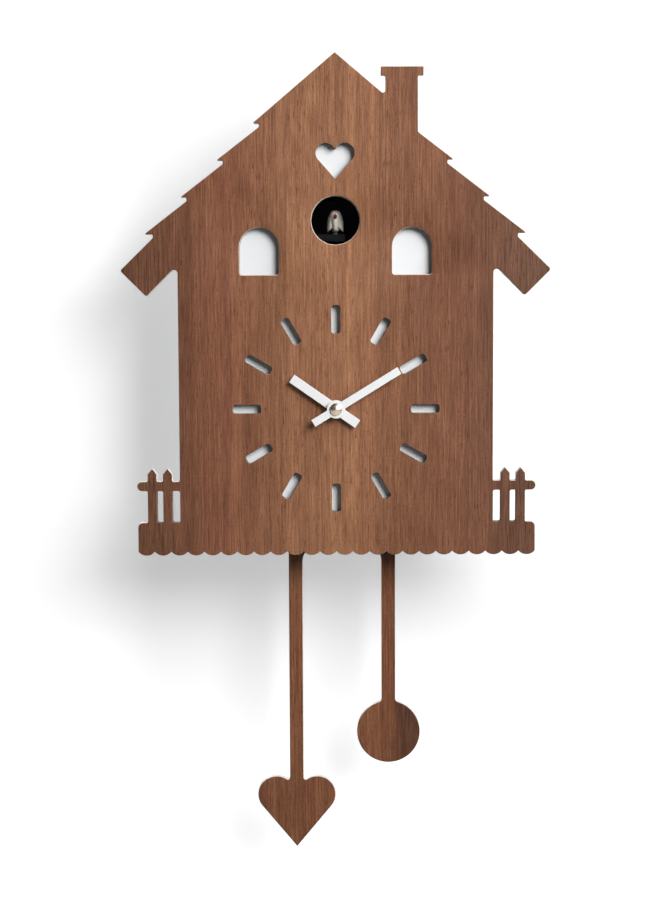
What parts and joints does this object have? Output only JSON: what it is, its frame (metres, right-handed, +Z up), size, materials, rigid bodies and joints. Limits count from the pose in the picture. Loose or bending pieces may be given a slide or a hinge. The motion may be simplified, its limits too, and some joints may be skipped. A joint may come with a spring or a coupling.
{
  "type": "cuckoo clock",
  "caption": "Wall cuckoo clock with a flat wooden house front, cut-out hour marks, white hands, a sliding bird and a forked pendulum ending in a heart and a disc.",
  "frame": {"origin": "centre of the round end of the hanger keyhole, on the wall plane", "axes": "+Z up, the front looks along -Y, +Y points into the wall, +X to the right seen from the front"},
  "size_m": [0.2988, 0.0947, 0.569],
  "materials": {
    "walnut_veneer": "satin walnut veneer with upright grain",
    "white_board": "fibreboard in satin white lacquer",
    "raw_wood": "plain softwood, sanded",
    "white_metal": "matt white paint on thin metal",
    "steel": "plain steel",
    "zinc_plate": "bright zinc plate",
    "brass": "satin brass",
    "black_plastic": "fine-grained black moulded plastic",
    "grey_plastic": "dark grey moulded plastic",
    "white_gear": "natural acetal",
    "clear_lens": "clear moulded lens",
    "bird_white": "cream gloss paint",
    "beak_red": "red gloss paint",
    "circuit_green": "solder-masked board",
    "cell_wrap": "plain printed sleeve",
    "rubber_pad": "soft grey rubber",
    "paper_cone": "pressed paper cone",
    "copper_coil": "enamelled copper winding",
    "magnet": "nickel-plated magnet"
  },
  "bodies": {
    "root": {"back_panel": "white_board", "back_panel_screws": "zinc_plate", "backing_board": "white_board", "battery_cells": "cell_wrap", "battery_contacts": "zinc_plate", "bird_housing": "black_plastic", "bird_motor": "steel", "case_floor": "white_board", "case_roof_left": "white_board", "case_roof_right": "white_board", "case_side_left": "white_board", "case_side_right": "white_board", "circuit_board": "circuit_green", "clock_motor": "steel", "corner_blocks": "raw_wood", "drive_coil": "copper_coil", "front_board": "white_board", "front_veneer": "walnut_veneer", "hanger_block": "raw_wood", "hanger_plate": "zinc_plate", "hanger_screws": "zinc_plate", "light_sensor": "clear_lens", "movement_front_shell": "black_plastic", "movement_rear_cover": "black_plastic", "movement_screws": "zinc_plate", "pivot_bracket": "black_plastic", "pivot_clip": "steel", "pivot_pin": "steel", "shaft_nut": "brass", "speaker_cone": "paper_cone", "speaker_frame": "steel", "train_plate": "grey_plastic", "train_screws": "zinc_plate", "wall_pads": "rubber_pad"},
    "minute_train": {"minute_arbor": "brass", "centre_wheel": "brass", "minute_hand": "white_metal", "hand_cap": "brass", "set_knob": "grey_plastic"},
    "hour_train": {"hour_wheel": "white_gear", "hour_hand": "white_metal"},
    "motion_wheel": {"minute_wheel": "white_gear"},
    "motor_shaft": {"motor_pinion": "brass"},
    "bird": {"bird_carriage": "grey_plastic", "bird_post": "steel", "bird_body": "bird_white", "bird_beak": "beak_red"},
    "left_wing": {"bird_wing_left": "bird_white"},
    "right_wing": {"bird_wing_right": "bird_white"},
    "bird_drive": {"bird_gear": "white_gear"},
    "bird_motor_shaft": {"bird_motor_pinion": "brass"},
    "pendulum": {"pendulum_board": "white_board", "pendulum_veneer": "walnut_veneer", "swing_arm": "grey_plastic", "pendulum_screws": "zinc_plate", "pendulum_magnet": "magnet"},
    "battery_hatch": {"battery_door": "black_plastic"},
    "volume_wheel": {"volume_knob": "grey_plastic"},
    "switch_slider": {"mode_switch": "grey_plastic"},
    "button": {"demo_button": "grey_plastic"}
  },
  "joints": [
    {"name": "minute_turn", "type": "hinge", "parent": "root", "child": "minute_train", "pos_m": [0, -0.08, -0.165], "axis": [0, 1, 0], "continuous": true},
    {"name": "hour_turn", "type": "hinge", "parent": "root", "child": "hour_train", "pos_m": [0, -0.08, -0.165], "axis": [0, 1, 0], "continuous": true},
    {"name": "motion_wheel_turn", "type": "hinge", "parent": "root", "child": "motion_wheel", "pos_m": [0.0144, -0.068, -0.165], "axis": [0, 1, 0], "continuous": true},
    {"name": "motor_pinion_turn", "type": "hinge", "parent": "root", "child": "motor_shaft", "pos_m": [-0.018, -0.06, -0.165], "axis": [0, 1, 0], "continuous": true},
    {"name": "bird_slide", "type": "slide", "parent": "root", "child": "bird", "axis": [0, -1, 0], "range_m": [0, 0.028]},
    {"name": "bird_gear_turn", "type": "hinge", "parent": "root", "child": "bird_drive", "pos_m": [0, -0.042, -0.067], "axis": [1, 0, 0], "range_deg": [-1, 272]},
    {"name": "bird_motor_turn", "type": "hinge", "parent": "root", "child": "bird_motor_shaft", "pos_m": [0, -0.042, -0.0795], "axis": [1, 0, 0], "range_deg": [-1090, 4]},
    {"name": "left_wing_flap", "type": "hinge", "parent": "bird", "child": "left_wing", "pos_m": [-0.0052, -0.0585, -0.0298], "axis": [0, 1, 0], "range_deg": [0, 30]},
    {"name": "right_wing_flap", "type": "hinge", "parent": "bird", "child": "right_wing", "pos_m": [0.0052, -0.0585, -0.0298], "axis": [0, -1, 0], "range_deg": [0, 30]},
    {"name": "pendulum_swing", "type": "hinge", "parent": "root", "child": "pendulum", "pos_m": [0, -0.05, -0.2], "axis": [0, 1, 0], "range_deg": [-5, 5]},
    {"name": "battery_door_slide", "type": "slide", "parent": "root", "child": "battery_hatch", "axis": [0, 0, -1], "range_m": [0, 0.008]},
    {"name": "volume_turn", "type": "hinge", "parent": "root", "child": "volume_wheel", "pos_m": [-0.032, -0.004, -0.123], "axis": [0, -1, 0], "range_deg": [-135, 135]},
    {"name": "mode_slide", "type": "slide", "parent": "root", "child": "switch_slider", "axis": [1, 0, 0], "range_m": [0, 0.006]},
    {"name": "demo_press", "type": "slide", "parent": "root", "child": "button", "axis": [0, -1, 0], "range_m": [0, 0.0015], "stiffness_N_per_m": 600}
  ],
  "couplings": [
    {"joint": "hour_turn", "follows": "minute_turn", "ratio": 0.083333},
    {"joint": "motion_wheel_turn", "follows": "minute_turn", "ratio": -0.33333},
    {"joint": "motor_pinion_turn", "follows": "minute_turn", "ratio": -5},
    {"joint": "bird_gear_turn", "follows": "bird_slide", "rad_per_m": 166.67},
    {"joint": "bird_motor_turn", "follows": "bird_slide", "rad_per_m": -666.67},
    {"joint": "left_wing_flap", "follows": "bird_slide", "rad_per_m": 17.453},
    {"joint": "right_wing_flap", "follows": "bird_slide", "rad_per_m": 17.453}
  ]
}
